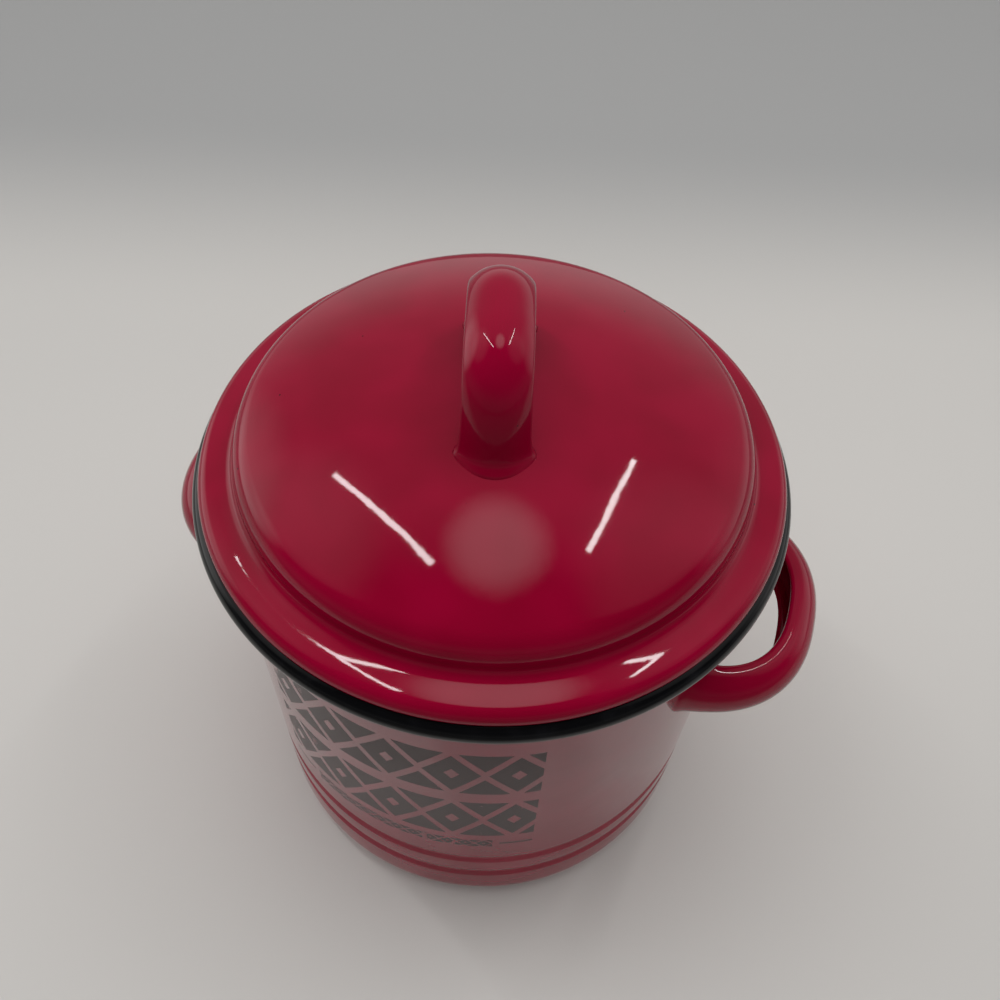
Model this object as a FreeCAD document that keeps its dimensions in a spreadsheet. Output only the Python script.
import FreeCAD, Part
import Sketcher
import math
import os

# Enamelled steel grease keeper: a drawn pot with two strap handles, a pressed lid
# with a strap handle, and a lift-out strainer.
# Millimetres. Z runs up the pot's axis from the surface it stands on, and X runs
# through the two side handles.

os.makedirs("parts", exist_ok=True)
doc = FreeCAD.newDocument("grease_keeper")

# Driving dimensions

sheet = doc.addObject("Spreadsheet::Sheet", "Sizes")

SIZES = {
    # pot: wall radius is the outer face, rim height is the top of the rolled edge
    "wall_radius": 59.5,
    "rim_height": 122.0,
    "pot_thickness": 1.2,
    "base_corner": 10.0,
    "bead_radius": 2.6,
    "bead_gap": 0.3,
    "foot_ring_width": 7.5,
    "foot_recess": 0.8,
    "groove_low": 21.0,
    "groove_pitch": 11.2,
    "groove_height": 7.4,
    "groove_depth": 1.1,
    # pressed strap shared by the three handles
    "strap_width": 13.0,
    "strap_thickness": 1.6,
    "foot_flare": 1.7,
    "flare_length": 3.0,
    "seat_depth": 5.5,
    # side handles: the gap is the clear room between wall and strap
    "handle_level": 91.0,
    "handle_gap": 12.6,
    "handle_span": 43.4,
    "handle_crown": 6.3,
    # lid: heights are above the lip that rests on the rim
    "lid_thickness": 1.2,
    "lid_overhang": 0.8,
    "lid_rise": 23.2,
    "lid_crown": 136.0,
    "lid_shoulder": 6.7,
    "lip_roll": 3.0,
    "valley_roll": 2.6,
    "slope_bend": 38.0,
    "flange_slope": 11.0,
    "slope_ease": 3.0,
    "lid_turn": 16.3,
    "grip_span": 34.0,
    "grip_rise": 18.4,
    "grip_crown": 3.6,
    # strainer
    "flange_inset": 0.7,
    "strainer_sheet": 0.8,
    "hem_width": 1.6,
    "hem_height": 0.5,
    "collar_clearance": 1.3,
    "collar_depth": 9.0,
    "mesh_thickness": 0.4,
    "bowl_roll": 33.0,
    "hoop_height": 5.0,
    # room between pieces that lift apart
    "seat_gap": 0.3,
}
for row, (alias, value) in enumerate(SIZES.items(), start=1):
    sheet.set("A%d" % row, alias)
    sheet.set("B%d" % row, str(value))
    sheet.setAlias("B%d" % row, alias)
doc.recompute()

# Places and sizes worked out from the driving dimensions

wall_radius = sheet.wall_radius
rim_height = sheet.rim_height
pot_thickness = sheet.pot_thickness
inner_radius = wall_radius - pot_thickness
crest_radius = wall_radius + sheet.bead_gap + sheet.bead_radius
lid_edge_radius = crest_radius + sheet.lid_overhang


def point(radius, height):
    """A point of a turned profile, in the XZ plane."""
    return FreeCAD.Vector(radius, 0, height)


def line(start, end):
    """A straight edge between two (radius, height) pairs."""
    return Part.LineSegment(point(*start), point(*end)).toShape()


def on_circle(centre, radius, degrees):
    """The (radius, height) pair at an angle on a circle of the profile plane."""
    angle = math.radians(degrees)
    return (centre[0] + radius * math.cos(angle), centre[1] + radius * math.sin(angle))


def arc(centre, radius, start, end):
    """An arc of the profile plane, from one angle to another in degrees."""
    ends = [on_circle(centre, radius, degrees) for degrees in (start, (start + end) / 2, end)]
    return Part.Arc(*[point(*place) for place in ends]).toShape()


def rounded_line(corners):
    """Straight edges through (radius, height, rounding) corners, with tangent arcs at the corners."""
    places = [point(corner[0], corner[1]) for corner in corners]
    edges = []
    start = places[0]
    for before, here, after, corner in zip(places, places[1:], places[2:], corners[1:]):
        inward = (before - here).normalize()
        onward = (after - here).normalize()
        half_angle = inward.getAngle(onward) / 2
        setback = corner[2] / math.tan(half_angle)
        middle = (inward + onward).normalize()
        centre = here + middle * (corner[2] / math.sin(half_angle))
        leave = here + inward * setback
        join = here + onward * setback
        edges.append(Part.LineSegment(start, leave).toShape())
        edges.append(Part.Arc(leave, centre - middle * corner[2], join).toShape())
        start = join
    edges.append(Part.LineSegment(start, places[-1]).toShape())
    return edges


def turned(edges):
    """The solid that a closed profile makes when it is turned about the Z axis."""
    face = Part.Face(Part.Wire(Part.__sortEdges__(edges)))
    return face.revolve(FreeCAD.Vector(0, 0, 0), FreeCAD.Vector(0, 0, 1), 360)


def add_shape(name, shape):
    """A document object that holds a shape made here."""
    piece = doc.addObject("Part::Feature", name)
    piece.Label = name
    piece.Shape = shape
    return piece


# Pot: drawn shell with a raised floor, two pressed rings and an outward rolled edge

GROOVE_COUNT = 2
GROOVE_ROUNDING = 0.6
FOOT_ROUNDING = 1.0
CURL_START = -160
CURL_GAP = 1 / 3


def wall_corners(offset):
    """Corners of the pot's outer skin, or of its inner skin at the given offset inwards."""
    side = wall_radius - offset
    foot_radius = wall_radius - sheet.base_corner - sheet.foot_ring_width
    step = sheet.foot_recess
    corners = [(0, step + offset, 0)]
    corners.append((foot_radius - step, step + offset, FOOT_ROUNDING))
    corners.append((foot_radius + step, offset, FOOT_ROUNDING))
    corners.append((side, offset, sheet.base_corner - offset))
    for count in range(GROOVE_COUNT):
        middle = sheet.groove_low + count * sheet.groove_pitch
        half = sheet.groove_height / 2
        lip_rounding = sheet.groove_height * GROOVE_ROUNDING
        corners.append((side, middle - half, lip_rounding))
        corners.append((side - sheet.groove_depth, middle, lip_rounding))
        corners.append((side, middle + half, lip_rounding))
    return corners


def make_pot():
    bead_centre = (crest_radius, rim_height - sheet.bead_radius)
    flare_radius = crest_radius - inner_radius
    flare_centre = (crest_radius, rim_height - flare_radius)
    curl_start = on_circle(bead_centre, sheet.bead_radius, CURL_START)
    wall_top = (wall_radius, curl_start[1] - sheet.bead_radius * CURL_GAP)
    outer = rounded_line(wall_corners(0) + [(*wall_top, 0)])
    inner = rounded_line(wall_corners(pot_thickness) + [(inner_radius, flare_centre[1], 0)])
    edges = outer + inner
    edges.append(line(wall_top, curl_start))
    edges.append(arc(bead_centre, sheet.bead_radius, CURL_START, 90))
    edges.append(arc(flare_centre, flare_radius, 90, 180))
    edges.append(line((0, sheet.foot_recess), (0, sheet.foot_recess + pot_thickness)))
    return add_shape("pot_body", turned(edges))


# Strap handles: a crowned, hollow-backed strap bent to a squared-off arch

HANDLE_POWER = 2.45
GRIP_POWER = 3.0
ARCH_STATIONS = 24


def strap_section(origin, outward, across, half_width, crown):
    """One closed section of the strap: crowned outside, hollow inside, rounded edges."""
    thickness = sheet.strap_thickness
    inner_half = half_width - thickness
    crown_top = origin + outward * crown
    hollow_top = origin + outward * (crown - thickness)
    edges = [Part.Arc(origin + across * half_width, crown_top, origin - across * half_width)]
    edge_middle = (half_width + inner_half) / 2
    edge_back = outward * (-thickness / 2)
    edges.append(Part.Arc(origin - across * half_width,
                          origin - across * edge_middle + edge_back,
                          origin - across * inner_half))
    edges.append(Part.Arc(origin - across * inner_half, hollow_top, origin + across * inner_half))
    edges.append(Part.Arc(origin + across * inner_half,
                          origin + across * edge_middle + edge_back,
                          origin + across * half_width))
    return Part.Wire([edge.toShape() for edge in edges])


def strap_arch(half_span, start, top, power, crown, seat):
    """An arch in the YZ plane that rises along Z from start to top and flares out at its seats.

    power sets how square the arch is, crown is how far the strap bulges outwards between its
    edges, and seat gives the height of the carrying surface at a distance from the arch's middle.
    """
    rise = top - start
    across = FreeCAD.Vector(1, 0, 0)
    sections = []
    for station in range(ARCH_STATIONS + 1):
        angle = math.pi * station / ARCH_STATIONS
        reach = (abs(math.cos(angle)) / half_span) ** power
        reach += (math.sin(angle) / rise) ** power
        reach = reach ** (-1 / power)
        along = reach * math.cos(angle)
        height = reach * math.sin(angle)
        slope_along = math.copysign((abs(along) / half_span) ** (power - 1) / half_span, along)
        slope_up = (height / rise) ** (power - 1) / rise
        outward = FreeCAD.Vector(0, slope_along, slope_up).normalize()
        origin = FreeCAD.Vector(0, along, start + height)
        clear = max(0, origin.z - seat(along))
        flare = sheet.foot_flare * math.exp(-clear / sheet.flare_length)
        half_width = sheet.strap_width / 2 + flare
        sections.append(strap_section(origin, outward, across, half_width, crown + flare))
    return Part.makeLoft(sections, True, False)


def make_side_handle(name, turn):
    """A handle whose feet are cut to the pot's wall; it is built upright and laid outwards."""
    half_span = sheet.handle_span / 2
    start = math.sqrt(wall_radius ** 2 - half_span ** 2) - sheet.seat_depth
    top = wall_radius + sheet.handle_gap

    def wall_height(along):
        return math.sqrt(wall_radius ** 2 - along ** 2)

    arch = strap_arch(half_span, start, top, HANDLE_POWER, sheet.handle_crown, wall_height)
    arch.rotate(FreeCAD.Vector(0, 0, 0), FreeCAD.Vector(0, 1, 0), 90)
    room = 4 * sheet.strap_width
    wall = Part.makeCylinder(wall_radius, room, FreeCAD.Vector(0, 0, -room / 2))
    handle = add_shape(name, arch.cut(wall))
    handle.Placement.Rotation = FreeCAD.Rotation(FreeCAD.Vector(0, 0, 1), turn)
    handle.setExpression("Placement.Base.z", "Sizes.handle_level")
    return handle


# Lid: a domed pressing whose sloping flange rests on the rim

def lid_outline(offset):
    """The lid's outer skin from its lip to its crown, or its inner skin at an offset inwards.

    The flange is almost straight: it bends a little outwards, then a little inwards, between
    the roll of the lip and the valley at the foot of the dome.
    """
    flat = 90 - sheet.flange_slope
    steep = flat - sheet.slope_ease
    bend = sheet.slope_bend
    roll_centre = (lid_edge_radius - sheet.lip_roll, sheet.lid_thickness / 2)
    roll_end = on_circle(roll_centre, sheet.lip_roll, steep)
    outer_centre = on_circle(roll_end, bend, steep + 180)
    middle = on_circle(outer_centre, bend, flat)
    inner_centre = on_circle(middle, bend, flat)
    valley_start = on_circle(inner_centre, bend, steep + 180)
    valley_centre = on_circle(valley_start, sheet.valley_roll, steep)
    lid_wall_radius = valley_centre[0] - sheet.valley_roll
    crown_centre = (0, sheet.lid_rise - sheet.lid_crown)
    shoulder_radius = lid_wall_radius - sheet.lid_shoulder
    reach = sheet.lid_crown - sheet.lid_shoulder
    shoulder_centre = (shoulder_radius, crown_centre[1] + math.sqrt(reach ** 2 - shoulder_radius ** 2))
    crown_end = math.degrees(math.acos(shoulder_radius / reach))
    side = lid_wall_radius - offset
    return [
        arc(roll_centre, sheet.lip_roll - offset, 0, steep),
        arc(outer_centre, bend - offset, steep, flat),
        arc(inner_centre, bend + offset, flat + 180, steep + 180),
        arc(valley_centre, sheet.valley_roll + offset, steep + 180, 180),
        line((side, valley_centre[1]), (side, shoulder_centre[1])),
        arc(shoulder_centre, sheet.lid_shoulder - offset, 0, crown_end),
        arc(crown_centre, sheet.lid_crown - offset, crown_end, 90),
    ]


def place_lid_piece(piece):
    """Sets a piece built above the lid's lip on the rim, at the lid's turn."""
    piece.Placement.Rotation = FreeCAD.Rotation(FreeCAD.Vector(0, 0, 1), 0)
    piece.setExpression("Placement.Base.z", "Sizes.rim_height + Sizes.seat_gap")
    piece.setExpression("Placement.Rotation.Angle", "Sizes.lid_turn")


def make_lid():
    thickness = sheet.lid_thickness
    edges = lid_outline(0) + lid_outline(thickness)
    edges.append(line((0, sheet.lid_rise), (0, sheet.lid_rise - thickness)))
    lip_centre = (lid_edge_radius - thickness / 2, thickness / 2)
    edges.append(arc(lip_centre, thickness / 2, 0, -180))
    lid = add_shape("lid_shell", turned(edges))
    place_lid_piece(lid)
    return lid


def make_lid_handle():
    """The grip's feet are cut to the lid's crown."""
    crown_centre = sheet.lid_rise - sheet.lid_crown
    half_span = sheet.grip_span / 2

    def crown_height(along):
        return crown_centre + math.sqrt(sheet.lid_crown ** 2 - along ** 2)

    start = crown_height(half_span) - sheet.seat_depth
    top = sheet.lid_rise + sheet.grip_rise
    arch = strap_arch(half_span, start, top, GRIP_POWER, sheet.grip_crown, crown_height)
    crown = Part.makeSphere(sheet.lid_crown, FreeCAD.Vector(0, 0, crown_centre))
    handle = add_shape("lid_handle", arch.cut(crown))
    place_lid_piece(handle)
    return handle


# Strainer: a flanged collar, a woven mesh bowl and the hoop that clamps the mesh

BOWL_SIDE_TURN = 50


def plane_of(body, role):
    """An origin plane of a body, found by its role."""
    return [plane for plane in body.Origin.OriginFeatures if plane.Role == role][0]


def turned_body(name, corners):
    """A body turned about Z from a closed outline whose corners are pairs of expressions."""
    body = doc.addObject("PartDesign::Body", name)
    body.Label = name
    sketch = body.newObject("Sketcher::SketchObject", name + "_profile")
    sketch.AttachmentSupport = [(plane_of(body, "XZ_Plane"), "")]
    sketch.MapMode = "FlatFace"
    count = len(corners)
    for index in range(count):
        start = FreeCAD.Vector(10 + index, index * index, 0)
        end = FreeCAD.Vector(11 + index, (index + 1) ** 2, 0)
        sketch.addGeometry(Part.LineSegment(start, end))
    for index in range(count):
        sketch.addConstraint(Sketcher.Constraint("Coincident", index, 2, (index + 1) % count, 1))
    for index, (radius, height) in enumerate(corners):
        across = sketch.addConstraint(Sketcher.Constraint("DistanceX", -1, 1, index, 1, 10 + index))
        sketch.setExpression("Constraints[%d]" % across, radius)
        up = sketch.addConstraint(Sketcher.Constraint("DistanceY", -1, 1, index, 1, 1 + index))
        sketch.setExpression("Constraints[%d]" % up, height)
    turn = body.newObject("PartDesign::Revolution", name + "_turn")
    turn.Profile = sketch
    turn.ReferenceAxis = (sketch, ["V_Axis"])
    turn.Angle = 360
    body.Tip = turn
    doc.recompute()
    return body


def make_strainer_flange():
    """The flange lies on the rim inside the lid's lip; its collar hangs in the mouth."""
    outer = "Sizes.wall_radius - Sizes.pot_thickness - Sizes.collar_clearance"
    inner = outer + " - Sizes.strainer_sheet"
    edge = ("Sizes.wall_radius + Sizes.bead_gap + Sizes.bead_radius + Sizes.lid_overhang"
            " - Sizes.lid_thickness - Sizes.flange_inset")
    hem = edge + " - Sizes.hem_width"
    top = "Sizes.collar_depth + Sizes.strainer_sheet"
    corners = [
        (inner, "0 mm"),
        (outer, "0 mm"),
        (outer, "Sizes.collar_depth"),
        (edge, "Sizes.collar_depth"),
        (edge, top + " + Sizes.hem_height"),
        (hem, top + " + Sizes.hem_height"),
        (hem, top),
        (inner, top),
    ]
    flange = turned_body("strainer_flange", corners)
    flange.setExpression("Placement.Base.z", "Sizes.rim_height + Sizes.seat_gap - Sizes.collar_depth")
    return flange


def make_strainer_hoop():
    """The hoop presses the top of the mesh against the collar from inside."""
    outer = ("Sizes.wall_radius - Sizes.pot_thickness - Sizes.collar_clearance"
             " - Sizes.strainer_sheet - Sizes.mesh_thickness")
    inner = outer + " - Sizes.strainer_sheet"
    corners = [
        (inner, "0 mm"),
        (outer, "0 mm"),
        (outer, "Sizes.hoop_height"),
        (inner, "Sizes.hoop_height"),
    ]
    hoop = turned_body("strainer_hoop", corners)
    hoop.setExpression("Placement.Base.z", "Sizes.rim_height + Sizes.seat_gap - Sizes.collar_depth")
    return hoop


def make_strainer_mesh():
    """A bowl of woven mesh as one thin skin: a straight neck, a rounded side and a shallower bottom."""
    neck_radius = inner_radius - sheet.collar_clearance - sheet.strainer_sheet
    neck_bottom = rim_height + sheet.seat_gap - sheet.collar_depth
    neck_top = neck_bottom + sheet.hoop_height
    side_radius = neck_radius - sheet.bowl_roll
    side_angle = math.radians(BOWL_SIDE_TURN)
    side_centre = (side_radius, neck_bottom)
    bottom_centre = (0, neck_bottom + side_radius * math.tan(side_angle))
    bottom_roll = sheet.bowl_roll + side_radius / math.cos(side_angle)
    edges = []
    for offset in (0, sheet.mesh_thickness):
        edges.append(line((neck_radius - offset, neck_top), (neck_radius - offset, neck_bottom)))
        edges.append(arc(side_centre, sheet.bowl_roll - offset, 0, -BOWL_SIDE_TURN))
        edges.append(arc(bottom_centre, bottom_roll - offset, -BOWL_SIDE_TURN, -90))
    bottom = bottom_centre[1] - bottom_roll
    edges.append(line((neck_radius, neck_top), (neck_radius - sheet.mesh_thickness, neck_top)))
    edges.append(line((0, bottom), (0, bottom + sheet.mesh_thickness)))
    return add_shape("strainer_mesh", turned(edges))


# Make every piece, check it and write its file

pieces = [
    make_pot(),
    make_side_handle("side_handle_right", 0),
    make_side_handle("side_handle_left", 180),
    make_lid(),
    make_lid_handle(),
    make_strainer_flange(),
    make_strainer_hoop(),
    make_strainer_mesh(),
]
doc.recompute()

for document_object in doc.Objects:
    if "Invalid" in document_object.State or "Error" in document_object.State:
        raise RuntimeError("%s did not compute" % document_object.Label)
for piece in pieces:
    shape = piece.Shape
    if shape.isNull() or not shape.isValid() or not shape.Solids:
        raise RuntimeError("%s is not a valid solid" % piece.Label)
    shape.exportStep("parts/%s.step" % piece.Label)
    box = shape.BoundBox
    print("%-18s %8.0f mm3  x %.1f..%.1f  y %.1f..%.1f  z %.1f..%.1f" % (
        piece.Label, shape.Volume, box.XMin, box.XMax, box.YMin, box.YMax, box.ZMin, box.ZMax))
